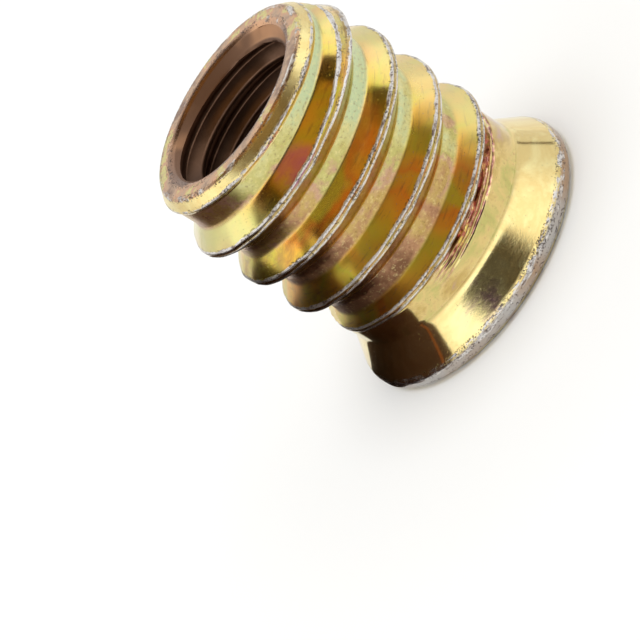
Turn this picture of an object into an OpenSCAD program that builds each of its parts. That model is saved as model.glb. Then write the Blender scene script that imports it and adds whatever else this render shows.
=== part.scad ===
// Flanged hex-drive wood insert nut, turned and rolled from one piece of steel.
// The flange face lies on z = 0. The axis is +Z and the leading end is on top.
// Lengths are in millimetres, angles in degrees.

/* [Overall] */
// Length from the flange face to the leading end
body_length = 17.3; // [15:0.1:24]

/* [Flange] */
// Largest diameter of the flange
flange_d = 17; // [16.4:0.1:21]
// Height of the rim, from the face to the start of the flare
rim_height = 0.9; // [0.8:0.1:1.8]
// Bevel round the face, along the face and along the rim
rim_bevel = 0.35; // [0.1:0.05:0.6]
// Height of the conical flare between the rim and the neck
flare_height = 2.1; // [1.4:0.1:2.6]

/* [Neck] */
// Diameter of the plain blank between the flare and the thread
neck_d = 14.1; // [13.4:0.1:14.4]
// Height of the plain blank above the flare
neck_height = 1.7; // [1:0.1:2]

/* [Wood thread] */
// Diameter over the crests
thread_d = 15.2; // [14.8:0.1:16]
// Diameter at the roots
root_d = 12.8; // [12.4:0.1:13]
// Distance between crests, right-hand and single-start
thread_pitch = 3.1; // [2.6:0.1:3.4]
// Width of the flat on a crest
crest_width = 0.42; // [0.2:0.02:0.6]
// Slope of both flanks, from a plane square to the axis
flank_angle = 38; // [30:1:42]
// Height of the crest above the face where it points to -Y, first turn above the neck
first_crest_z = 5.25; // [5:0.05:5.6]
// Part of a turn over which the crest sinks into the neck
runout_turns = 0.75; // [0.4:0.05:0.8]

/* [Leading end] */
// Outer diameter of the flat ring round the mouth
tip_d = 12; // [11.4:0.1:12.4]
// Diameter of the collar behind the end bevel
collar_d = 13.1; // [13.1:0.1:13.6]
// Height of the end bevel between the ring and the collar
tip_bevel_height = 0.62; // [0.4:0.02:0.9]
// Height behind the collar over which the crests reach their full diameter
lead_height = 2; // [1.6:0.1:3]

/* [Bore] */
// Diameter inside the metric thread crests, the minor diameter of M10 x 1.5
bore_d = 8.4; // [8.2:0.05:8.5]
// Diameter of the chamfered mouth in the leading end
mouth_d = 10; // [9.4:0.1:10.4]
// Diameter of the countersink between the socket floor and the bore
floor_sink_d = 9.8; // [9:0.1:9.9]

/* [Hex socket] */
// Width across the flats
hex_flats = 10; // [10:0.1:10.4]
// Depth of the flats below the flange face
hex_depth = 4.4; // [3:0.1:6]
// Diameter of the shallow entry chamfer that leaves a crescent on each flat
hex_entry_d = 11.7; // [11.2:0.1:12]
// Depth of the entry chamfer at the middle of a flat
hex_entry_depth = 0.3; // [0.1:0.05:0.6]

/* [Hidden] */
$fn = 96;

// Rings of the thread ridge in each turn
rings_per_turn = 48;
// Angle of the -Y direction, at which first_crest_z is measured
front_angle = -90;
// How far the ridge's foot is buried in the body
ridge_bury = 0.3;
// Height of the small step on each side of the thread's roots
root_step = 0.3;
// How far a cutter runs past the face that it opens
overrun = 1;

flange_r = flange_d / 2;
neck_r = neck_d / 2;
thread_r = thread_d / 2;
root_r = root_d / 2;
collar_r = collar_d / 2;
tip_r = tip_d / 2;
bore_r = bore_d / 2;
mouth_r = mouth_d / 2;
sink_r = floor_sink_d / 2;
thread_depth = thread_r - root_r;
foot_r = root_r - ridge_bury;

neck_z = rim_height + flare_height;
shoulder_z = neck_z + neck_height;
collar_z = body_length - tip_bevel_height;
groove_top_z = collar_z - root_step;
lead_z = collar_z - lead_height;
lead_slope = (thread_r - collar_r) / lead_height;
mouth_depth = mouth_r - bore_r;
sink_depth = sink_r - bore_r;
hex_corner_r = hex_flats / 2 / cos(30);

// The ridge starts inside the neck and ends just behind the collar
ridge_low_z = first_crest_z - runout_turns * thread_pitch + thread_pitch / 4;
ridge_high_z = collar_z - crest_width / 2;
runout_top_z = ridge_low_z + runout_turns * thread_pitch;
runin_low_z = ridge_high_z - thread_pitch / 4;
ring_count = ceil((ridge_high_z - ridge_low_z) / thread_pitch * rings_per_turn);

// Share of a ramp between two heights, from 0 at the first to 1 at the second
function ramp(z, from_z, to_z) = min(1, max(0, (z - from_z) / (to_z - from_z)));

// Drop of the crest where the ridge sinks into the neck or ends behind the collar
function end_drop(z) =
    (thread_r - neck_r + ridge_bury / 2) * ramp(z, runout_top_z, ridge_low_z)
    + (thread_depth + ridge_bury / 2) * ramp(z, runin_low_z, ridge_high_z);

// Drop of one crest edge below the full diameter, where side is 1 towards the tip and -1 towards the flange
function lead_drop(z, side) =
    lead_slope * max(0, z + side * crest_width / 2 - lead_z) / (1 - side * lead_slope * tan(flank_angle));

function edge_drop(z, side) = min(thread_r - foot_r - 0.05, max(end_drop(z), lead_drop(z, side)));

// A point of the ridge's section, on the flank at a drop below the full diameter and never above the roots
function flank_point(z, side, drop) =
    [thread_r - drop, min(groove_top_z, z + side * (crest_width / 2 + drop * tan(flank_angle)))];

function ridge_section(z) = [
    flank_point(z, -1, thread_r - foot_r),
    flank_point(z, -1, edge_drop(z, -1)),
    flank_point(z, 1, edge_drop(z, 1)),
    flank_point(z, 1, thread_r - foot_r)
];

// Angle at which the crest's middle has a height: a right-hand helix through the front
function ridge_angle(z) = front_angle + 360 * (z - first_crest_z) / thread_pitch;

function on_helix(point, angle) = [point[0] * cos(angle), point[0] * sin(angle), point[1]];

// One face quad between two rings, and the flat caps on both ends
function side_quad(ring, corner) = [
    ring * 4 + corner,
    ring * 4 + (corner + 1) % 4,
    ring * 4 + 4 + (corner + 1) % 4,
    ring * 4 + 4 + corner
];

module thread_ridge() {
    heights = [for (i = [0:ring_count]) ridge_low_z + (ridge_high_z - ridge_low_z) * i / ring_count];
    points = [for (z = heights) for (p = ridge_section(z)) on_helix(p, ridge_angle(z))];
    sides = [for (i = [0:ring_count - 1]) for (c = [0:3]) side_quad(i, c)];
    last = ring_count * 4;
    polyhedron(points, concat(sides, [[3, 2, 1, 0], [last, last + 1, last + 2, last + 3]]));
}

// Solid outline of the blank, without the ridge
module blank() {
    rotate_extrude()
    polygon([
        [0, 0],
        [flange_r - rim_bevel, 0],
        [flange_r, rim_bevel],
        [flange_r, rim_height],
        [neck_r, neck_z],
        [neck_r, shoulder_z],
        [root_r, shoulder_z + root_step],
        [root_r, groove_top_z],
        [collar_r, collar_z],
        [tip_r, body_length],
        [0, body_length]
    ]);
}

// The bore with its mouth chamfer and the countersink on the socket floor
module bore_cutter() {
    rotate_extrude()
    polygon([
        [0, hex_depth - overrun],
        [sink_r, hex_depth - overrun],
        [sink_r, hex_depth],
        [bore_r, hex_depth + sink_depth],
        [bore_r, body_length - mouth_depth],
        [mouth_r, body_length],
        [mouth_r, body_length + overrun],
        [0, body_length + overrun]
    ]);
}

module hex_cutter() {
    translate([0, 0, -overrun])
    cylinder(h = hex_depth + overrun, r = hex_corner_r, $fn = 6);
    cylinder(h = hex_entry_depth, r1 = hex_entry_d / 2, r2 = hex_flats / 2);
}

module insert() {
    color("darkkhaki")
    difference() {
        union() {
            blank();
            thread_ridge();
        }
        bore_cutter();
        hex_cutter();
    }
}

insert();
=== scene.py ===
import logging
import math
from dataclasses import dataclass
from enum import Enum

import bmesh
import bpy
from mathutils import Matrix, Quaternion, Vector, noise


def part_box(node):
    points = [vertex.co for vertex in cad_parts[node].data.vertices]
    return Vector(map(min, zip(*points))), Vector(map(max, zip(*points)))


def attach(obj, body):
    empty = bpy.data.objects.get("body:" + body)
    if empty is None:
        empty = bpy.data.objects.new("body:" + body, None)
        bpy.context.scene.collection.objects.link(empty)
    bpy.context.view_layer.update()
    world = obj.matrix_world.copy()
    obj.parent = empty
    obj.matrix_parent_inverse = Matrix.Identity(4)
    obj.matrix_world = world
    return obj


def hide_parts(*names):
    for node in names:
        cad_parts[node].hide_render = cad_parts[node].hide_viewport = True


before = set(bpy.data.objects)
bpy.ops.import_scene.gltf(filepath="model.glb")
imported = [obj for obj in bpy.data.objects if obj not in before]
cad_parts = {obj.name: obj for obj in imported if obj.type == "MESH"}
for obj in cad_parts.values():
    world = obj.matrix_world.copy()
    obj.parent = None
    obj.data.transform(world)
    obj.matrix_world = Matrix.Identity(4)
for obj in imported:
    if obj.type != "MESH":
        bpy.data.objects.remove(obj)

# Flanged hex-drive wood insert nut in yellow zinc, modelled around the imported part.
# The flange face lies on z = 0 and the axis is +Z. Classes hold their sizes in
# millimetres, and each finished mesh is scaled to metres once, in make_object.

LOG = logging.getLogger("insert")
MM = 0.001
UP = Vector((0.0, 0.0, 1.0))

Vert = bmesh.types.BMVert
Edge = bmesh.types.BMEdge
Element = Vert | Edge | bmesh.types.BMFace
Socket = bpy.types.NodeSocket
Tone = tuple[float, float, float]
Radii = tuple[float, float]

ROUND_STEPS = 4  # segments in a rounded corner
SIDE_SHARE = 0.45  # most of a side that one rounding takes up
WELD_REACH = 0.002  # points nearer than this become one
CUT_REACH = 0.004  # points this near to a cutting plane lie on it
RIM_REACH = 0.02  # how far a rim's points may lie from its height
JOIN_GAP = 0.03  # left open between two surfaces for a bridge
OUTER_RADII = (6.0, 8.0)  # the outside's open rims lie between these
BORE_RADII = (4.0, 5.2)  # the bore's open rims lie between these


class Mark(Enum):
    """Surface marks that the shell carries as vertex attributes for its finish."""

    WORN = "worn"
    GROOVE = "groove"
    FLANK = "flank"
    INSIDE = "inside"
    FOLD = "fold"
    ACROSS = "across"


@dataclass(frozen=True)
class Corner:
    """A corner of a turned or rolled outline.

    Args:
        r: Distance from the axis.
        z: Height above the flange face.
        round_by: How far the rounding reaches along each side.
        worn: Share of bare metal at the corner, from 0 to 1.
        cuts: Points on the straight side that follows the corner.
    """

    r: float
    z: float
    round_by: float = 0.0
    worn: float = 0.0
    cuts: int = 0


@dataclass(frozen=True)
class Station:
    """A point of an outline with its share of wear."""

    r: float
    z: float
    worn: float = 0.0


def rounded_outline(corners: list[Corner], steps: int = ROUND_STEPS) -> list[Station]:
    """Rounds the corners of an outline with short quadratic arcs.

    Args:
        corners: The outline's corners in order. The ends stay sharp.
        steps: Segments in each rounded corner.

    Returns:
        The outline's stations, as many for the same count of corners and cuts.
    """
    stations: list[Station] = []
    last = len(corners) - 1
    places = [Vector((c.r, c.z)) for c in corners]
    for i, corner in enumerate(corners):
        here = places[i]
        if corner.round_by and 0 < i < last:
            back, ahead = places[i - 1] - here, places[i + 1] - here
            start = here + back.normalized() * min(corner.round_by, SIDE_SHARE * back.length)
            end = here + ahead.normalized() * min(corner.round_by, SIDE_SHARE * ahead.length)
            for k in range(steps + 1):
                t = k / steps
                p = start * (1 - t) ** 2 + here * (2 * t * (1 - t)) + end * t ** 2
                stations.append(Station(p.x, p.y, corner.worn))
        else:
            stations.append(Station(here.x, here.y, corner.worn))
        if corner.cuts and i < last:
            start = Vector((stations[-1].r, stations[-1].z))
            ahead = places[i + 1] - here
            reach = min(corners[i + 1].round_by, SIDE_SHARE * ahead.length) if i + 1 < last else 0.0
            end = places[i + 1] - ahead.normalized() * reach
            for k in range(1, corner.cuts + 1):
                p = start.lerp(end, k / (corner.cuts + 1))
                stations.append(Station(p.x, p.y))
    return stations


def ramp(value: float, low: float, high: float) -> float:
    """Share of the way from low to high, held between 0 and 1."""
    return min(1.0, max(0.0, (value - low) / (high - low)))


def polar(r: float, angle: float, z: float) -> Vector:
    """The point at a radius, an angle and a height."""
    return Vector((r * math.cos(angle), r * math.sin(angle), z))


class Sheet:
    """A bmesh under work, with its station and mark layers."""

    def __init__(self) -> None:
        """Starts an empty mesh with the layers that every surface needs."""
        self.bm = bmesh.new()
        self.station = self.bm.verts.layers.int.new("station")
        self.marks = {m: self.bm.verts.layers.float.new(m.value) for m in Mark}

    def everything(self) -> list[Element]:
        """Every vertex, edge and face, as the operators take them."""
        return [*self.bm.verts, *self.bm.edges, *self.bm.faces]

    def chain(self, stations: list[Station]) -> list[Element]:
        """Lays an outline on the +X half plane.

        Args:
            stations: The outline's points.

        Returns:
            The new vertices and edges, ready to be spun.
        """
        verts = []
        for i, s in enumerate(stations):
            vert = self.bm.verts.new((s.r, 0.0, s.z))
            vert[self.station] = i
            vert[self.marks[Mark.WORN]] = s.worn
            vert[self.marks[Mark.ACROSS]] = s.z
            verts.append(vert)
        edges = [self.bm.edges.new(pair) for pair in zip(verts, verts[1:])]
        return [*verts, *edges]

    def lathe(self, stations: list[Station], columns: int) -> None:
        """Turns an outline once round the axis.

        Args:
            stations: The outline's points.
            columns: Facets in the full turn.
        """
        bmesh.ops.spin(
            self.bm, geom=self.chain(stations), cent=(0, 0, 0), axis=UP,
            angle=math.tau, steps=columns, use_merge=True, use_duplicate=False,
        )

    def helix(
        self, stations: list[Station], pitch: float, columns: int, turns: int,
    ) -> list[tuple[Vert, int, int]]:
        """Turns an outline round the axis while it climbs, as a right-hand thread.

        Args:
            stations: The thread's outline over one pitch.
            pitch: Climb in each turn.
            columns: Facets in each turn.
            turns: Whole turns.

        Returns:
            Each vertex with its station and its count of columns from the start.
        """
        step = pitch / columns
        bmesh.ops.spin(
            self.bm, geom=self.chain(stations), cent=(0, 0, 0), axis=UP, dvec=UP * step,
            angle=math.tau, steps=columns, use_merge=False, use_duplicate=False,
        )
        turn = self.everything()
        for i in range(1, turns):
            copy = bmesh.ops.duplicate(self.bm, geom=turn)["geom"]
            moved = [e for e in copy if isinstance(e, Vert)]
            bmesh.ops.translate(self.bm, vec=UP * (i * pitch), verts=moved)
        placed = []
        for vert in self.bm.verts:
            station = vert[self.station]
            placed.append((vert, station, round((vert.co.z - stations[station].z) / step)))
        return placed

    def cut(self, z: float, keep: int = 0) -> None:
        """Cuts the surface with a plane square to the axis.

        Args:
            z: Height of the plane.
            keep: 1 keeps what is above, -1 what is below and 0 both.
        """
        bmesh.ops.bisect_plane(
            self.bm, geom=self.everything(), dist=CUT_REACH, plane_co=(0, 0, z), plane_no=UP,
            clear_outer=keep < 0, clear_inner=keep > 0,
        )

    def rim(self, z: float, radii: Radii) -> list[Edge]:
        """The open edges at a height, between two radii."""
        low_r, high_r = radii
        return [
            e for e in self.bm.edges
            if e.is_boundary and all(
                abs(v.co.z - z) < RIM_REACH and low_r < v.co.xy.length < high_r for v in e.verts
            )
        ]

    def add(self, other: "Sheet") -> None:
        """Takes in a part that was built on its own, and frees it.

        Args:
            other: The part's sheet.
        """
        passing = bpy.data.meshes.new("passing")
        other.bm.to_mesh(passing)
        other.bm.free()
        self.bm.from_mesh(passing)
        bpy.data.meshes.remove(passing)

    def even_rim(self, z: float, radii: Radii, columns: int) -> None:
        """Welds a cut rim's points to one in each column.

        Args:
            z: Height of the rim.
            radii: Radii that the rim lies between.
            columns: Columns in the full turn.
        """
        keep: dict[int, Vert] = {}
        verts = {v for e in self.rim(z, radii) for v in e.verts}
        slots = {v: math.atan2(v.co.y, v.co.x) / math.tau * columns for v in verts}
        for vert in sorted(verts, key=lambda v: abs(slots[v] - round(slots[v]))):
            keep.setdefault(round(slots[vert]) % columns, vert)
        strays = {v: keep[round(slots[v]) % columns] for v in verts if v not in keep.values()}
        bmesh.ops.weld_verts(self.bm, targetmap=strays)

    def trim(self, low_z: float, high_z: float, radii: Radii, columns: int) -> None:
        """Welds a swept thread's turns together and trims both of its ends.

        Args:
            low_z: Height of the lower end.
            high_z: Height of the upper end.
            radii: Radii that both rims lie between.
            columns: Columns in a full turn.
        """
        bmesh.ops.remove_doubles(self.bm, verts=self.bm.verts[:], dist=WELD_REACH)
        self.cut(low_z, keep=1)
        self.cut(high_z, keep=-1)
        for z in (low_z, high_z):
            self.even_rim(z, radii, columns)

    def bridge(self, first_z: float, second_z: float, radii: Radii) -> None:
        """Closes the gap between two open rims, after splitting the coarser one when it has half as many
        edges.

        Args:
            first_z: Height of one rim.
            second_z: Height of the other.
            radii: Radii that both rims lie between.
        """
        few, many = sorted((self.rim(first_z, radii), self.rim(second_z, radii)), key=len)
        if len(many) == 2 * len(few):
            split = bmesh.ops.subdivide_edges(self.bm, edges=few, cuts=1)
            inner = {e for e in split["geom"] if isinstance(e, Edge)}
            few = list(inner | set(few))
        LOG.info("bridge %d to %d edges", len(few), len(many))
        bmesh.ops.bridge_loops(self.bm, edges=[*few, *many])


@dataclass(frozen=True)
class Blank:
    """The plain turned body, with its length and flange taken from the frame."""

    length: float
    flange_r: float
    rim_height: float = 0.9
    rim_bevel: float = 0.35
    neck_r: float = 7.05
    neck_z: float = 3.0
    shoulder_z: float = 4.7
    root_step: float = 0.3
    root_r: float = 6.4
    collar_r: float = 6.55
    tip_r: float = 6.0
    tip_bevel: float = 0.62
    bore_r: float = 4.2
    mouth_r: float = 5.0
    sink_r: float = 4.9
    floor_z: float = 4.4

    @property
    def collar_z(self) -> float:
        """Height of the collar's edge."""
        return self.length - self.tip_bevel

    @property
    def groove_top_z(self) -> float:
        """Height at which the last root meets the collar."""
        return self.collar_z - self.root_step

    @staticmethod
    def from_frame(node: str) -> "Blank":
        """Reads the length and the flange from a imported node's box."""
        low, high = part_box(node)
        return Blank(length=(high.z - low.z) / MM, flange_r=(high.x - low.x) / 2 / MM)

    def neck_surface(self, z: float) -> float:
        """The plain body's surface under the thread's foot.

        Args:
            z: Height above the flange face.

        Returns:
            Radius of the neck or of the shoulder above it, or 0 above both.
        """
        if z <= self.shoulder_z:
            return self.neck_r
        if z >= self.shoulder_z + self.root_step:
            return 0.0
        return self.neck_r - (self.neck_r - self.root_r) * (z - self.shoulder_z) / self.root_step


@dataclass
class WoodThread:
    """The coarse rolled thread with its worn crests, run-out and lead."""

    blank: Blank
    crest_r: float = 7.6
    pitch: float = 3.1
    crest_width: float = 0.32
    flank_angle: float = math.radians(38)
    first_crest_z: float = 5.25
    front_angle: float = math.radians(-90)
    runout_turns: float = 0.75
    lead_height: float = 2.0
    crest_hollow: float = 0.06
    columns: int = 288
    low_z: float = 3.4
    crest_wave: float = 0.05
    edge_wave: float = 0.07
    spare: float = 0.15
    most_drop: float = 0.97
    shoulder_cuts: tuple[float, ...] = (-0.06, 0.06, 0.24)
    fold_span: tuple[float, ...] = tuple(math.radians(a) for a in (-24, 0, 105, 145))
    fold_reach: tuple[float, float] = (0.2, 1.7)
    fold_full: float = 0.07
    folds: tuple[tuple[float, float, float], ...] = (
        (0.48, 0.06, 0.12), (0.68, 0.07, 0.16), (0.88, 0.06, 0.11), (1.14, 0.08, 0.09),
    )

    def __post_init__(self) -> None:
        """Works out what depends on the driving sizes."""
        self.depth = self.crest_r - self.blank.root_r
        self.deepest = self.most_drop * self.depth
        self.slope = math.tan(self.flank_angle)
        self.lead_z = self.blank.collar_z - self.lead_height
        self.lead_slope = (self.crest_r - self.blank.collar_r) / self.lead_height
        self.ridge_low_z = self.first_crest_z - (self.runout_turns - 0.25) * self.pitch
        self.ridge_high_z = self.blank.collar_z - self.crest_width / 2

    def sink(self, z: float) -> float:
        """How far the whole ridge sinks into the neck, or closes at the collar.

        Args:
            z: Height of the crest's middle.

        Returns:
            The crest's drop, always short of the thread's depth.
        """
        runout_top = self.ridge_low_z + self.runout_turns * self.pitch
        above_neck = self.crest_r - self.blank.neck_r + self.spare
        sunk = above_neck * (1 - ramp(z, self.ridge_low_z, runout_top))
        closed = (self.depth + self.spare) * ramp(z, self.ridge_high_z - self.pitch / 4, self.ridge_high_z)
        return min(self.deepest, sunk + closed)

    def crest_corner(self, z: float, side: int, wave: float) -> tuple[float, float]:
        """Radius and height of one crest edge, cut back by the lead and with its unevenness.

        Args:
            z: Height of the crest's middle.
            side: 1 towards the leading end and -1 towards the flange.
            wave: How far the edge strays.

        Returns:
            The edge's radius and height.
        """
        over = max(0.0, z + side * self.crest_width / 2 - self.lead_z)
        lead = self.lead_slope * over / (1 - side * self.lead_slope * self.slope)
        drop = min(self.deepest, max(self.sink(z), lead))
        reach = self.crest_width / 2 + max(0.0, drop - self.sink(z)) * self.slope
        return self.crest_r - drop, z + side * (reach + wave)

    def outline(self, z: float, angle: float) -> list[Station]:
        """The thread's outline over one pitch, from root middle to root middle.

        Args:
            z: Height of the crest's middle.
            angle: Angle of the outline round the axis.

        Returns:
            The outline's stations.
        """
        root_r, half = self.blank.root_r, self.pitch / 2
        root_reach = self.crest_width / 2 + (self.depth - self.sink(z)) * self.slope
        place = polar(self.crest_r, angle, z)
        waves = [self.edge_wave * noise.noise(place * 0.55 + Vector((9.0 * i, 3.0, 1.0))) for i in (1, 2)]
        dent = self.crest_wave * (0.5 + noise.noise(place * 0.9))
        low_r, low_z = self.crest_corner(z, -1, waves[0])
        high_r, high_z = self.crest_corner(z, 1, waves[1])
        middle_r = (low_r + high_r) / 2 - self.crest_hollow * (1.0 + 0.6 * noise.noise(place * 0.4))
        corners = [
            Corner(root_r, z - half, cuts=3),
            Corner(root_r, z - root_reach, round_by=0.2, cuts=5),
            Corner(low_r - dent, low_z, round_by=0.07, worn=1.0),
            Corner(middle_r - dent, (low_z + high_z) / 2, round_by=0.1, worn=0.3),
            Corner(high_r - dent, high_z, round_by=0.07, worn=1.0, cuts=6),
            Corner(root_r, z + root_reach, round_by=0.2, cuts=3),
            Corner(root_r, z + half),
        ]
        return rounded_outline(corners)

    def build(self, sheet: Sheet) -> None:
        """Sweeps the thread, puts every point in its place and trims both ends.

        Args:
            sheet: The mesh that takes the thread.
        """
        turns_down = math.ceil((self.first_crest_z - self.low_z + self.pitch) / self.pitch)
        start_z = self.first_crest_z - turns_down * self.pitch
        turns = math.ceil((self.blank.length + self.pitch - start_z) / self.pitch)
        first = self.outline(start_z, self.front_angle)
        rows: dict[int, list[Station]] = {}
        for vert, station, ring in sheet.helix(first, self.pitch, self.columns, turns):
            z = start_z + ring * self.pitch / self.columns
            angle = self.front_angle + math.tau * ring / self.columns
            if ring not in rows:
                rows[ring] = self.outline(z, angle)
            self.place(sheet, vert, rows[ring][station], angle, z)
        sheet.trim(self.low_z, self.blank.groove_top_z, OUTER_RADII, self.columns)
        for offset in self.shoulder_cuts:
            sheet.cut(self.blank.shoulder_z + offset)
        self.meet_neck(sheet)
        self.score_folds(sheet)

    def place(self, sheet: Sheet, vert: Vert, s: Station, angle: float, z: float) -> None:
        """Moves one swept point to its place and gives it its marks.

        Args:
            sheet: The mesh that holds the thread.
            vert: The point.
            s: Its station in the outline.
            angle: Its angle round the axis.
            z: Height of the crest's middle there.
        """
        lift = s.r - self.blank.root_r
        vert.co = polar(s.r, angle, s.z)
        vert[sheet.marks[Mark.WORN]] = s.worn * ramp(lift, 0.2, 0.5)
        vert[sheet.marks[Mark.GROOVE]] = 1.0 - ramp(lift, 0.02, 0.14)
        vert[sheet.marks[Mark.FLANK]] = 1.0 if s.z > z else 0.0
        vert[sheet.marks[Mark.ACROSS]] = s.z - z

    def meet_neck(self, sheet: Sheet) -> None:
        """Raises the thread's foot to the neck.

        Args:
            sheet: The mesh that holds the thread.
        """
        for vert in sheet.bm.verts:
            r = vert.co.xy.length
            neck = self.blank.neck_surface(vert.co.z)
            if neck > r:
                vert.co.xy *= neck / r
                for mark in (Mark.GROOVE, Mark.FLANK, Mark.WORN):
                    vert[sheet.marks[mark]] = 0.0

    def fold_share(self, vert: Vert) -> tuple[float, float]:
        """Finds a point's place among the folds under the run-out's crest line.

        Args:
            vert: The point.

        Returns:
            How fully the folds are pressed there, and its depth below the crest line.
        """
        start, full, end, gone = self.fold_span
        shallow, deep = self.fold_reach
        angle = math.atan2(vert.co.y, vert.co.x) - self.front_angle
        below = self.first_crest_z + self.pitch * angle / math.tau - vert.co.z
        if not shallow < below < deep:
            return 0.0, below
        return ramp(angle, start, full) * (1 - ramp(angle, end, gone)), below

    def score_folds(self, sheet: Sheet) -> None:
        """Presses the folds that the rolls leave where the thread runs out.

        Args:
            sheet: The mesh that holds the thread.
        """
        edges = []
        for edge in sheet.bm.edges:
            low, high = edge.verts
            upright = abs(low.co.z - high.co.z) > 0.5 * edge.calc_length()
            if upright and self.fold_share(low)[0] > 0:
                edges.append(edge)
        bmesh.ops.subdivide_edges(sheet.bm, edges=edges, cuts=3, use_grid_fill=True)
        for vert in sheet.bm.verts:
            share, below = self.fold_share(vert)
            if share <= 0:
                continue
            stray = 0.05 * noise.noise(vert.co * 1.3)
            press = sum(
                depth * math.exp(-(((below + stray - at) / width) ** 2))
                for at, width, depth in self.folds
            )
            vert.co.xy *= 1 - press * share / vert.co.xy.length
            vert[sheet.marks[Mark.FOLD]] = min(1.0, abs(press) * share / self.fold_full)


@dataclass
class FlangeAndSocket:
    """The neck's lower end, the flare, the rim, the flange face and the hex socket."""

    blank: Blank
    columns: int = 288
    join_z: float = 3.3
    half_flats: float = 5.0
    entry_r: float = 5.85
    entry_depth: float = 0.3
    corner_relief_r: float = 5.72
    wall_stations: tuple[float, ...] = (0.08, 1.2, 2.4, 3.6, 4.32)

    def flat_r(self, angle: float) -> float:
        """Distance from the axis to the socket's wall, whose corners lie on +X and -X.

        Args:
            angle: Angle round the axis.

        Returns:
            The distance, cut short in the corners' relief.
        """
        turn = math.radians(60)
        off = (angle % turn) - turn / 2
        return min(self.corner_relief_r, self.half_flats / math.cos(off))

    def build(self, sheet: Sheet) -> None:
        """Turns the outline down to the socket's floor and forms the socket.

        Args:
            sheet: The mesh that takes the flange.
        """
        b = self.blank
        outer = rounded_outline([
            Corner(b.neck_r, self.join_z),
            Corner(b.neck_r, b.neck_z, round_by=0.35, cuts=10),
            Corner(b.flange_r, b.rim_height, round_by=0.22, worn=0.62, cuts=3),
            Corner(b.flange_r, b.rim_bevel, round_by=0.12, worn=0.3, cuts=1),
            Corner(b.flange_r - b.rim_bevel, 0.0, round_by=0.1, worn=0.8, cuts=8),
            Corner(self.entry_r + 0.12, 0.0, worn=0.1),
            Corner(self.entry_r, 0.015, worn=0.75),
        ])
        walls = [Station(self.half_flats, depth) for depth in (0.0, *self.wall_stations, b.floor_z)]
        floor = [
            Station(b.sink_r + 0.05, b.floor_z),
            Station(b.sink_r - JOIN_GAP, b.floor_z + JOIN_GAP),
        ]
        sheet.lathe([*outer, *walls, *floor], self.columns)
        for vert in sheet.bm.verts:
            wall = vert[sheet.station] - len(outer)
            if wall >= 0:
                vert[sheet.marks[Mark.INSIDE]] = 1.0
            if 0 <= wall < len(walls):
                angle = math.atan2(vert.co.y, vert.co.x)
                r = self.flat_r(angle)
                crescent = self.entry_depth * max(0.0, self.entry_r - r) / (self.entry_r - self.half_flats)
                share = walls[wall].z / b.floor_z
                vert.co = polar(r, angle, crescent + (b.floor_z - crescent) * share)
                vert[sheet.marks[Mark.WORN]] = 0.3 if wall < 2 else 0.0


@dataclass
class LeadingEnd:
    """The collar, the end bevel, the ring round the mouth and the mouth chamfer."""

    blank: Blank
    columns: int = 288
    join_z: float = 17.16

    def build(self, sheet: Sheet) -> None:
        """Turns the outline from the last root to just inside the mouth.

        Args:
            sheet: The mesh that takes the leading end.
        """
        b = self.blank
        sheet.lathe(rounded_outline([
            Corner(b.root_r, b.groove_top_z + JOIN_GAP),
            Corner(b.collar_r, b.collar_z, round_by=0.09, worn=0.75, cuts=3),
            Corner(b.tip_r, b.length, round_by=0.16, worn=0.55, cuts=3),
            Corner(b.mouth_r + 0.1, b.length, round_by=0.26, worn=0.35),
            Corner(b.mouth_r - (b.length - self.join_z), self.join_z),
        ]), self.columns)


@dataclass
class BoreThread:
    """The fine metric thread in the bore, with its countersink and mouth chamfer."""

    blank: Blank
    major_r: float = 4.98
    pitch: float = 1.5
    crest_flat: float = 0.26
    root_flat: float = 0.26
    columns: int = 144
    low_z: float = 4.46
    high_z: float = 17.1
    fade: float = 0.9

    def outline(self, z: float) -> list[Station]:
        """The thread's outline over one pitch, with its crest in the middle.

        Args:
            z: Height of the crest's middle.

        Returns:
            The outline's stations.
        """
        half, crest, root = self.pitch / 2, self.crest_flat / 2, self.root_flat / 2
        minor, major = self.blank.bore_r, self.major_r
        return rounded_outline([
            Corner(major, z - half),
            Corner(major, z - half + root, round_by=0.06),
            Corner(minor, z - crest, round_by=0.09),
            Corner(minor, z + crest, round_by=0.09),
            Corner(major, z + half - root, round_by=0.06),
            Corner(major, z + half),
        ], steps=2)

    def build(self, sheet: Sheet) -> None:
        """Sweeps the thread, trims both ends and opens them with their cones.

        Args:
            sheet: The mesh that takes the bore.
        """
        b = self.blank
        start_z = self.low_z - self.pitch
        turns = math.ceil((self.high_z + self.pitch - start_z) / self.pitch)
        rows: dict[int, list[Station]] = {}
        for vert, station, ring in sheet.helix(self.outline(start_z), self.pitch, self.columns, turns):
            if ring not in rows:
                rows[ring] = self.outline(start_z + ring * self.pitch / self.columns)
            s = rows[ring][station]
            deep = (s.r - b.bore_r) * ramp(s.z, self.low_z, self.low_z + self.fade)
            vert.co = polar(b.bore_r + deep, math.tau * ring / self.columns, s.z)
            vert[sheet.marks[Mark.INSIDE]] = 1.0
        sheet.trim(self.low_z, self.high_z, BORE_RADII, self.columns)
        for vert in sheet.bm.verts:
            r = vert.co.xy.length
            sink = b.sink_r - (vert.co.z - b.floor_z)
            mouth = b.mouth_r - (b.length - vert.co.z)
            open_r = max(r, sink, mouth)
            vert.co.xy *= open_r / r
            if open_r > r:
                vert[sheet.marks[Mark.WORN]] = 0.1


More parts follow.
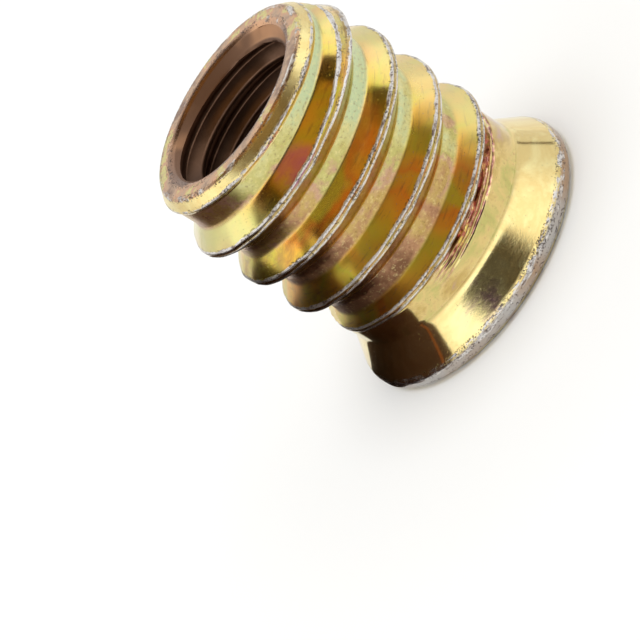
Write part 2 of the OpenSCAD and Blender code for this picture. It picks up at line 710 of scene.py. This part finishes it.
def make_object(name: str, bm: bmesh.types.BMesh) -> bpy.types.Object:
    """Turns a mesh in millimetres into an object in metres.

    Args:
        name: Name of the object and of its mesh.
        bm: The mesh, which is freed.

    Returns:
        The object, linked to the scene at the frame's origin.
    """
    bmesh.ops.scale(bm, vec=(MM, MM, MM), verts=bm.verts[:])
    mesh = bpy.data.meshes.new(name)
    bm.to_mesh(mesh)
    bm.free()
    made = bpy.data.objects.new(name, mesh)
    bpy.context.scene.collection.objects.link(made)
    return made


@dataclass
class InsertShell:
    """The whole insert as one closed shell."""

    blank: Blank
    sharp_angle: float = math.radians(38)

    def build(self) -> bpy.types.Object:
        """Builds every part of the surface and joins them into one mesh.

        Returns:
            The finished piece, in metres, at the frame's origin.
        """
        sheet, b = Sheet(), self.blank
        thread, flange, tip, bore = WoodThread(b), FlangeAndSocket(b), LeadingEnd(b), BoreThread(b)
        for part in (thread, flange, tip, bore):
            own = Sheet()
            part.build(own)
            sheet.add(own)
            LOG.info("%s: %d vertices so far", type(part).__name__, len(sheet.bm.verts))
        sheet.bridge(thread.low_z, flange.join_z, OUTER_RADII)
        sheet.bridge(b.groove_top_z, b.groove_top_z + JOIN_GAP, OUTER_RADII)
        sheet.bridge(bore.high_z, tip.join_z, BORE_RADII)
        sheet.bridge(bore.low_z, b.floor_z + JOIN_GAP, BORE_RADII)
        return self.finish(sheet.bm)

    def finish(self, bm: bmesh.types.BMesh) -> bpy.types.Object:
        """Turns the faces outwards, marks sharp edges and makes the object.

        Args:
            bm: The joined surface.

        Returns:
            The piece, linked to the scene.
        """
        bmesh.ops.recalc_face_normals(bm, faces=bm.faces[:])
        for edge in bm.edges:
            edge.smooth = len(edge.link_faces) == 2 and edge.calc_face_angle() < self.sharp_angle
        for face in bm.faces:
            face.smooth = True
        LOG.info("open edges: %d", sum(not e.is_manifold for e in bm.edges))
        return make_object("insert_shell", bm)


class NodeBench:
    """Adds and links the nodes of one material."""

    def __init__(self, tree: bpy.types.NodeTree) -> None:
        """Takes the tree that the nodes go in."""
        self.nodes, self.links = tree.nodes, tree.links

    def feed(self, socket: Socket, value: object) -> None:
        """Sets an input.

        Args:
            socket: The input.
            value: A number, a colour or another socket.
        """
        if isinstance(value, bpy.types.NodeSocket):
            self.links.new(value, socket)
        elif isinstance(value, tuple) and socket.type == "RGBA":
            socket.default_value = (*value, 1.0)
        else:
            socket.default_value = value

    def reckon(self, operation: str, *values: object) -> Socket:
        """Adds one step of arithmetic.

        Args:
            operation: Its name, such as SQRT.
            values: What it works on, in order.

        Returns:
            The result.
        """
        node = self.nodes.new("ShaderNodeMath")
        node.operation = operation
        for socket, value in zip(node.inputs, values):
            self.feed(socket, value)
        return node.outputs[0]

    def times(self, first: object, *others: object) -> Socket:
        """The product of numbers and sockets."""
        for other in others:
            first = self.reckon("MULTIPLY", first, other)
        return first

    def plus(self, first: object, *others: object) -> Socket:
        """The sum of numbers and sockets."""
        for other in others:
            first = self.reckon("ADD", first, other)
        return first

    def swing(self, cloud: Socket, amount: float, middle: float = 0.5) -> Socket:
        """How far a noise strays from its middle, times an amount."""
        return self.times(self.reckon("SUBTRACT", cloud, middle), amount)

    def span(
        self, value: object, low: float, high: float, to_low: float = 0.0, to_high: float = 1.0,
    ) -> Socket:
        """Takes a value from one span smoothly to another.

        Args:
            value: The value.
            low: Start of the first span.
            high: Its end, which may be below its start.
            to_low: Start of the second span.
            to_high: Its end.

        Returns:
            The value in the second span.
        """
        node = self.nodes.new("ShaderNodeMapRange")
        node.interpolation_type = "SMOOTHSTEP"
        for name, number in (("From Min", low), ("From Max", high), ("To Min", to_low), ("To Max", to_high)):
            node.inputs[name].default_value = number
        self.feed(node.inputs["Value"], value)
        return node.outputs[0]

    def blend(self, share: object, a: object, b: object) -> Socket:
        """Blends two colours.

        Args:
            share: Share of the second colour.
            a: The first colour.
            b: The second colour.

        Returns:
            The blend.
        """
        node = self.nodes.new("ShaderNodeMix")
        node.data_type = "RGBA"
        self.feed(node.inputs[0], share)
        self.feed(node.inputs[6], a)
        self.feed(node.inputs[7], b)
        return node.outputs[2]

    def coats(self, base: Socket, layers: tuple[tuple[Socket, object], ...]) -> Socket:
        """Lays coats of colour over a base, each by its own share."""
        for share, tone in layers:
            base = self.blend(share, base, tone)
        return base

    def tones(self, value: object, stops: list[tuple[float, Tone]]) -> Socket:
        """Turns a value into a colour through a row of tones.

        Args:
            value: The value, from 0 to 1.
            stops: The row, each with the value that it stands at.

        Returns:
            The colour.
        """
        node = self.nodes.new("ShaderNodeValToRGB")
        elements = node.color_ramp.elements
        while len(elements) < len(stops):
            elements.new(0.5)
        for element, (place, tone) in zip(elements, stops):
            element.position = place
            element.color = (*tone, 1.0)
        self.feed(node.inputs[0], value)
        return node.outputs[0]

    def mark(self, mark: Mark) -> Socket:
        """Reads one of the shell's marks.

        Args:
            mark: The mark.

        Returns:
            Its value.
        """
        node = self.nodes.new("ShaderNodeAttribute")
        node.attribute_name = mark.value
        return node.outputs["Fac"]

    def place(self, scale: Tone = (1.0, 1.0, 1.0)) -> Socket:
        """Reads object coordinates in millimetres.

        Args:
            scale: What each axis is multiplied by.

        Returns:
            The place.
        """
        coord = self.nodes.new("ShaderNodeTexCoord")
        mapping = self.nodes.new("ShaderNodeMapping")
        mapping.inputs["Scale"].default_value = tuple(c / MM for c in scale)
        self.links.new(coord.outputs["Object"], mapping.inputs["Vector"])
        return mapping.outputs[0]

    def axes(self) -> tuple[Socket, ...]:
        """Reads the x, y and z of a point in millimetres."""
        split = self.nodes.new("ShaderNodeSeparateXYZ")
        self.links.new(self.place(), split.inputs[0])
        return tuple(split.outputs)

    def clouds(self, place: Socket, detail: float, rough: float, twist: float = 0.0) -> Socket:
        """Makes cloudy noise.

        Args:
            place: Where the noise is read, one feature to each unit.
            detail: Layers of finer noise.
            rough: Strength of the finer layers.
            twist: How far the noise is pulled about.

        Returns:
            The noise, mostly between 0.3 and 0.7.
        """
        node = self.nodes.new("ShaderNodeTexNoise")
        self.links.new(place, node.inputs["Vector"])
        settings = (("Scale", 1.0), ("Detail", detail), ("Roughness", rough), ("Distortion", twist))
        for name, number in settings:
            node.inputs[name].default_value = number
        return node.outputs["Fac"]

    def streaks(self, along: float, across: float) -> Socket:
        """Makes noise drawn out along the edges.

        Args:
            along: Features a millimetre along the edges.
            across: Features a millimetre across them.

        Returns:
            The noise.
        """
        x, y, _ = self.axes()
        join = self.nodes.new("ShaderNodeCombineXYZ")
        axes = (self.times(x, along), self.times(y, along), self.times(self.mark(Mark.ACROSS), across))
        for socket, value in zip(join.inputs, axes):
            self.feed(socket, value)
        return self.clouds(join.outputs[0], 4.0, 0.65)

    def mottle(self, scale: Tone, detail: float = 3.0, rough: float = 0.55, twist: float = 0.0) -> Socket:
        """Cloudy noise with so many features a millimetre on each axis."""
        return self.clouds(self.place(scale), detail, rough, twist)


class YellowZinc(NodeBench):
    """Glossy yellow zinc plating with its rainbow film, bare worn edges and specks, and painted shade and
    painted highlights.
    """

    gold: Tone = (0.76, 0.58, 0.24)
    brass: Tone = (0.58, 0.41, 0.14)
    pale: Tone = (0.87, 0.75, 0.36)
    cream: Tone = (0.78, 0.68, 0.34)
    amber: Tone = (0.74, 0.42, 0.06)
    orange: Tone = (0.74, 0.29, 0.05)
    olive: Tone = (0.57, 0.48, 0.06)
    mint: Tone = (0.56, 0.64, 0.37)
    lime: Tone = (0.57, 0.52, 0.18)
    peach: Tone = (0.52, 0.29, 0.16)
    rose: Tone = (0.66, 0.32, 0.30)
    blush: Tone = (0.60, 0.37, 0.25)
    straw: Tone = (0.66, 0.62, 0.28)
    magenta: Tone = (0.56, 0.16, 0.50)
    mauve: Tone = (0.55, 0.36, 0.32)
    tan: Tone = (0.44, 0.29, 0.18)
    umber: Tone = (0.24, 0.12, 0.065)
    coffee: Tone = (0.14, 0.075, 0.045)
    walnut: Tone = (0.22, 0.125, 0.08)
    steel: Tone = (0.72, 0.69, 0.66)
    iron: Tone = (0.50, 0.48, 0.46)
    lead: Tone = (0.22, 0.16, 0.13)
    soot: Tone = (0.05, 0.035, 0.03)
    bloom_place: Tone = (-1.1, -6.9, 14.5)
    bloom_r: float = 1.7
    gloss: float = 0.08
    relief_depth: float = 0.012

    def __init__(self) -> None:
        """Starts the material, with its nodes to hand."""
        self.material = bpy.data.materials.new("yellow_zinc_plate")
        self.material.use_nodes = True
        super().__init__(self.material.node_tree)

    def make(self) -> bpy.types.Material:
        """Builds the material.

        Returns:
            The plating, ready for the shell.
        """
        shader = self.nodes["Principled BSDF"]
        shader.inputs["Metallic"].default_value = 1.0
        worn = self.wear()
        specks = self.specks()
        bare = self.blend(self.span(self.streaks(1.2, 5.0), 0.34, 0.52), self.lead, self.steel)
        tone = self.coats(self.plate_tone(), ((worn, bare), (self.times(specks, 0.8), self.soot)))
        self.feed(shader.inputs["Base Color"], tone)
        self.feed(shader.inputs["Roughness"], self.roughness(worn, specks))
        self.feed(shader.inputs["Normal"], self.relief(worn, specks))
        return self.material

    def plate_tone(self) -> Socket:
        """Colours the plating over the whole piece, before wear, with painted shadow under the crests,
        painted shade in their sunken middles, in the bore, the socket and the mouth, and painted highlight
        on the mouth.

        Returns:
            The colour.
        """
        x, y, z = self.axes()
        radius = self.reckon("SQRT", self.plus(self.times(x, x), self.times(y, y)))
        across = self.mark(Mark.ACROSS)
        film = self.mottle((0.24, 0.24, 0.34), 5.0, 0.62, 0.4)
        band = self.mottle((0.20, 0.20, 0.16), 3.0, 0.5, 0.2)
        grain = self.mottle((4.5, 4.5, 6.0), 3.0, 0.7)
        body = self.tones(film, [
            (0.30, self.mauve), (0.40, self.pale), (0.55, self.gold), (0.66, self.pale), (0.74, self.peach),
        ])
        # Painted shadow: umber on the flange-side flank just under each crest's edge.
        under = self.times(
            self.span(across, -0.12, -0.3), self.span(across, -1.35, -1.1),
            self.span(radius, 7.62, 7.5), 0.55,
        )
        neck = self.tones(film, [
            (0.34, self.mauve), (0.43, self.brass), (0.51, self.gold), (0.60, self.lime), (0.70, self.peach),
        ])
        neck = self.blend(self.span(grain, 0.56, 0.70, 0.0, 0.5), neck, self.peach)
        on_neck = self.times(
            self.span(z, 2.5, 3.0), self.span(z, 4.75, 4.6), self.span(radius, 7.14, 7.08),
        )
        ring = self.tones(self.mottle((0.45, 0.45, 0.45), 4.0, 0.6), [
            (0.34, self.walnut), (0.43, self.tan), (0.50, self.peach), (0.56, self.lime), (0.64, self.tan),
        ])
        on_ring = self.times(self.span(z, 17.1, 17.2), self.span(radius, 6.15, 6.05))
        on_mouth = self.times(self.span(radius, 5.3, 5.15), self.span(z, 16.6, 16.7))
        on_rim = self.times(self.span(radius, 8.32, 8.46), self.span(z, 1.0, 0.85))
        fold = self.tones(self.mottle((1.5, 1.5, 4.0)), [
            (0.40, self.umber), (0.52, self.rose), (0.62, self.pale),
        ])
        face = self.tones(film, [
            (0.30, self.mint), (0.40, self.mauve), (0.55, self.rose), (0.63, self.pale), (0.72, self.lime),
        ])
        # Painted shade: umber darkens the sunken middle of each crest, between its two worn edges.
        painted_crest_shade = self.times(
            self.span(self.reckon("ABSOLUTE", across), 0.13, 0.05),
            self.span(self.mark(Mark.WORN), 0.05, 0.2), 0.5,
        )
        return self.coats(body, (
            # painted shadow under the crests
            (under, self.umber),
            (self.mark(Mark.FLANK), self.flank_tone(film, band, grain)),
            (self.mark(Mark.GROOVE), self.root_tone(film, grain)),
            (on_neck, neck),
            (on_ring, ring),
            # Painted shade: the bore and the hex socket are coloured coffee to walnut brown.
            (self.mark(Mark.INSIDE), self.blend(self.span(film, 0.42, 0.68), self.coffee, self.walnut)),
            # Painted shade on the mouth chamfer: dark walnut, with peach patches of painted highlight.
            (on_mouth, self.blend(self.span(band, 0.46, 0.66), self.walnut, self.peach)),
            (on_rim, self.blend(self.span(band, 0.35, 0.65), self.iron, self.tan)),
            (self.mark(Mark.FOLD), fold),
            (self.span(z, 0.06, 0.02), face),
            # painted shade in the crests' sunken middles
            (painted_crest_shade, self.umber),
        ))

    def root_tone(self, film: Socket, grain: Socket) -> Socket:
        """Colours the roots, from brown to mint, with painted shade that darkens them towards the flange and
        the -X side, random tone from the plating's noise, and gold and dark flecks.

        Args:
            film: The plating's broad noise.
            grain: Its fine noise.

        Returns:
            The colour.
        """
        x, _, z = self.axes()
        close = self.mottle((0.5, 0.5, 0.6), 4.0, 0.6)
        # Painted shade: this value falls towards the flange and the -X side, which darkens the roots there;
        # its noise varies their tone at random.
        tone_and_shade_drift = self.plus(
            0.02, self.times(x, 0.055), self.times(z, 0.045),
            self.swing(film, 0.9), self.swing(close, 0.8),
        )
        tone = self.tones(tone_and_shade_drift, [
            (0.05, self.umber), (0.24, self.peach), (0.38, self.brass), (0.48, self.blush),
            (0.58, self.lime), (0.72, self.straw), (0.88, self.mint),
        ])
        return self.coats(tone, (
            (self.span(grain, 0.54, 0.70, 0.0, 0.5), self.pale),
            (self.span(grain, 0.45, 0.32, 0.0, 0.45), self.umber),
        ))

    def flank_tone(self, film: Socket, band: Socket, grain: Socket) -> Socket:
        """Colours the tip-facing flanks: amber clouds, painted highlight that turns them pale on both sides,
        and one magenta bloom.

        Args:
            film: The plating's broad noise.
            band: Its second broad noise.
            grain: Its fine noise.

        Returns:
            The colour.
        """
        x, _, z = self.axes()
        tone = self.tones(band, [
            (0.36, self.amber), (0.45, self.olive), (0.53, self.amber), (0.60, self.orange),
            (0.67, self.olive),
        ])
        reach = self.nodes.new("ShaderNodeVectorMath")
        reach.operation = "DISTANCE"
        self.feed(reach.inputs[0], self.place())
        self.feed(reach.inputs[1], self.bloom_place)
        ragged = self.plus(reach.outputs["Value"], self.swing(film, 4.0))
        # Painted highlight: straw over the upper flanks on the -X side.
        left = self.times(self.span(x, -2.8, -5.5, 0.0, 0.75), self.span(z, 11.5, 14.5))
        return self.coats(tone, (
            (self.span(film, 0.56, 0.68, 0.0, 0.5), self.umber),
            (self.span(grain, 0.60, 0.72, 0.0, 0.7), self.peach),
            (self.span(self.streaks(0.7, 9.0), 0.54, 0.70, 0.0, 0.4), self.umber),
            # Painted highlight: cream over the flanks on the +X side.
            (self.span(x, 3.8, 6.8, 0.0, 0.6), self.cream),
            (left, self.straw),
            (self.span(ragged, self.bloom_r, 0.3, 0.0, 0.8), self.magenta),
        ))

    def wear(self) -> Socket:
        """Share of bare steel: worn edges with ragged borders that run along them."""
        ragged = self.plus(self.mark(Mark.WORN), self.swing(self.streaks(1.1, 4.0), 2.1, 0.53))
        return self.times(self.span(ragged, 0.45, 0.72), self.span(self.mark(Mark.WORN), 0.05, 0.4))

    def specks(self) -> Socket:
        """Makes fine dark pits, thick beside worn edges and thin elsewhere.

        Returns:
            The pits' share, none inside the bore.
        """
        grain = self.mottle((8.0, 8.0, 10.0), 3.0, 0.7)
        patch = self.mottle((0.7, 0.7, 0.7), 2.0)
        near = self.times(self.span(self.mark(Mark.WORN), 0.0, 0.30, 0.0, 0.24), patch)
        outside = self.reckon("SUBTRACT", 1.0, self.mark(Mark.INSIDE))
        thick = self.plus(grain, near, self.times(patch, 0.08))
        return self.times(self.span(thick, 0.70, 0.78), outside)

    def roughness(self, worn: Socket, specks: Socket) -> Socket:
        """Sets the gloss, duller on grooves, low flanks, the end, worn edges and pits.

        Args:
            worn: Share of bare steel.
            specks: Share of pits.

        Returns:
            The roughness.
        """
        z = self.axes()[2]
        low = self.times(self.span(z, 15.0, 6.0, 0.06, 0.24), self.mark(Mark.FLANK))
        shares = (
            (self.mottle((0.9, 0.9, 0.9)), 0.04), (self.mark(Mark.INSIDE), 0.30),
            (self.span(z, 16.6, 16.75), 0.16), (self.mark(Mark.GROOVE), 0.18), (worn, 0.18), (specks, 0.2),
        )
        return self.plus(self.gloss, low, *(self.times(share, amount) for share, amount in shares))

    def relief(self, worn: Socket, specks: Socket) -> Socket:
        """Makes the fine relief: turning marks, orange peel, pits and crest scars.

        Args:
            worn: Share of bare steel.
            specks: Share of pits.

        Returns:
            The bent normal.
        """
        marks = self.mottle((0.12, 0.12, 7.0), 3.0, 0.6)
        peel = self.mottle((5.0, 5.0, 5.0), 4.0, 0.65)
        scars = self.times(self.streaks(1.8, 7.0), worn)
        bump = self.nodes.new("ShaderNodeBump")
        bump.inputs["Strength"].default_value = 0.5
        bump.inputs["Distance"].default_value = self.relief_depth * MM
        self.feed(bump.inputs["Height"], self.plus(
            self.times(marks, 0.05), self.times(peel, 0.22),
            self.times(scars, 0.8), self.times(specks, -0.6),
        ))
        return bump.outputs[0]


@dataclass(frozen=True)
class Flag:
    """A dark upright post that shades the reflections, with the heights of its foot and top."""

    name: str
    place: tuple[float, float]
    radius: float
    low: float
    high: float
    tone: Tone


@dataclass
class Studio:
    """Pale floor, dark posts, soft surround and overhead lamp."""

    floor_size: float = 1200.0
    floor_drop: float = 0.02
    floor_tone: Tone = (0.88, 0.88, 0.88)
    lamp_size: float = 500.0
    lamp_height: float = 600.0
    lamp_power: float = 2.0
    lamp_tone: Tone = (0.83, 0.92, 1.0)
    flags: tuple[Flag, ...] = (
        Flag("dark_flag", (-17.6, 0.4), 9.2, 0.1, 13.0, (0.05, 0.014, 0.006)),
        Flag("ember_flag", (-9.6, -6.0), 0.14, 2.5, 9.0, (0.34, 0.10, 0.02)),
        Flag("seam_flag", (132.4, 70.4), 3.0, 15.0, 110.0, (0.10, 0.07, 0.03)),
    )
    front_reach: float = 0.45
    front_low: float = 0.618
    front_tone: Tone = (0.05, 0.04, 0.03)
    ring_tones: tuple[tuple[float, Tone], ...] = (
        (-5, (0.88, 0.88, 0.88)), (18, (0.95, 0.95, 0.95)), (30, (1.45, 1.45, 1.45)),
        (47.8, (1.6, 1.6, 1.55)), (49.2, (0.05, 0.04, 0.03)), (60, (0.06, 0.045, 0.025)),
        (65, (0.52, 0.32, 0.10)), (90, (0.60, 0.38, 0.14)),
    )
    strength: float = 2.0

    def build(self) -> None:
        """Makes the floor, the posts, the lamp and the surround."""
        self.make_floor()
        for flag in self.flags:
            self.make_flag(flag)
        self.make_lamp()
        self.make_surround()

    def card(
        self, name: str, bm: bmesh.types.BMesh, tone: Tone, rough: float, shine: float,
    ) -> bpy.types.Object:
        """Makes a matte object that stands round the piece.

        Args:
            name: Its name.
            bm: Its mesh in millimetres.
            tone: Its colour.
            rough: Its roughness.
            shine: Its specular level.

        Returns:
            The object.
        """
        made = make_object(name, bm)
        material = bpy.data.materials.new(name)
        material.use_nodes = True
        bench = NodeBench(material.node_tree)
        shader = material.node_tree.nodes["Principled BSDF"]
        for socket, value in (("Base Color", tone), ("Roughness", rough), ("Specular IOR Level", shine)):
            bench.feed(shader.inputs[socket], value)
        made.data.materials.append(material)
        return made

    def make_floor(self) -> None:
        """Lays the floor under the flange face."""
        bm = bmesh.new()
        bmesh.ops.create_grid(bm, x_segments=1, y_segments=1, size=self.floor_size / 2)
        bmesh.ops.translate(bm, vec=UP * -self.floor_drop, verts=bm.verts[:])
        floor = self.card("floor", bm, self.floor_tone, 0.9, 0.0)

    def make_flag(self, flag: Flag) -> None:
        """Stands a dark post near the insert, which only the metal's reflections see.

        Args:
            flag: The post's place, size and tone.
        """
        bm = bmesh.new()
        bmesh.ops.create_cone(
            bm, cap_ends=True, segments=64, radius1=flag.radius, radius2=flag.radius,
            depth=flag.high - flag.low,
        )
        bmesh.ops.translate(bm, vec=(*flag.place, (flag.high + flag.low) / 2), verts=bm.verts[:])
        post = self.card(flag.name, bm, flag.tone, 0.8, 0.5)
        post.visible_camera = False
        post.visible_diffuse = False
        post.visible_shadow = False

    def make_lamp(self) -> None:
        """Hangs a large soft lamp over the floor that metal doesn't mirror."""
        data = bpy.data.lights.new("overhead", "AREA")
        data.shape = "DISK"
        data.size = self.lamp_size * MM
        data.energy = self.lamp_power
        data.color = self.lamp_tone
        lamp = bpy.data.objects.new("overhead", data)
        lamp.location = UP * (self.lamp_height * MM)
        lamp.visible_glossy = False
        bpy.context.scene.collection.objects.link(lamp)

    def dimmed(self, tone: Tone) -> Tone:
        """A tone that the surround's strength brings back to its own brightness."""
        return tuple(c / self.strength for c in tone)

    def make_surround(self) -> None:
        """Makes the bright tent with its dark ring overhead and its dark opening in front."""
        world = bpy.data.worlds.new("tent")
        bpy.context.scene.world = world
        world.use_nodes = True
        nodes, links = world.node_tree.nodes, world.node_tree.links
        nodes.clear()
        bench = NodeBench(world.node_tree)
        coord = nodes.new("ShaderNodeTexCoord")
        split = nodes.new("ShaderNodeSeparateXYZ")
        links.new(coord.outputs["Generated"], split.inputs[0])
        _, y, z = split.outputs
        stops = [
            ((1 + math.sin(math.radians(elevation))) / 2, self.dimmed(tone))
            for elevation, tone in self.ring_tones
        ]
        ring = bench.tones(bench.times(bench.plus(z, 1.0), 0.5), stops)
        toward = bench.span(y, -self.front_reach, -self.front_reach - 0.08)
        lifted = bench.span(z, self.front_low, self.front_low + 0.02)
        shade = nodes.new("ShaderNodeBackground")
        shade.inputs["Strength"].default_value = self.strength
        tent = bench.blend(bench.times(toward, lifted), ring, self.dimmed(self.front_tone))
        links.new(tent, shade.inputs["Color"])
        out = nodes.new("ShaderNodeOutputWorld")
        links.new(shade.outputs[0], out.inputs["Surface"])


@dataclass
class ViewCamera:
    """The long-lens camera that looks down at the insert."""

    lens: float = 163.9
    sensor: float = 36.0
    distance: float = 163.15
    elevation: float = 24.884
    lean: float = -58.906
    aim: tuple[float, float, float] = (-7.416, 2.499, 4.788)

    def build(self) -> None:
        """Makes the camera and puts it in use."""
        data = bpy.data.cameras.new("view")
        data.lens = self.lens
        data.sensor_width = self.sensor
        data.clip_start = 0.01
        data.clip_end = 10
        camera = bpy.data.objects.new("view", data)
        tilt = math.radians(self.elevation)
        back = Vector((0, -math.cos(tilt), math.sin(tilt)))
        camera.location = (Vector(self.aim) + back * self.distance) * MM
        camera.rotation_mode = "QUATERNION"
        turn = Quaternion((0, 0, 1), math.radians(self.lean))
        camera.rotation_quaternion = (-back).to_track_quat("-Z", "Y") @ turn
        bpy.context.scene.collection.objects.link(camera)
        bpy.context.scene.camera = camera


def main() -> None:
    """Builds the camera, the studio and the insert, in that order."""
    logging.basicConfig(level=logging.INFO, format="%(name)s: %(message)s")
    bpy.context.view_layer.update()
    ViewCamera().build()
    Studio().build()
    piece = InsertShell(Blank.from_frame("insert")).build()
    piece.data.materials.append(YellowZinc().make())
    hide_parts("insert")
    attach(piece, "root")
    piece.data.calc_loop_triangles()
    LOG.info("insert_shell: %d triangles", len(piece.data.loop_triangles))
    bpy.context.scene.view_settings.view_transform = "Standard"


if __name__ == "__main__":
    main()
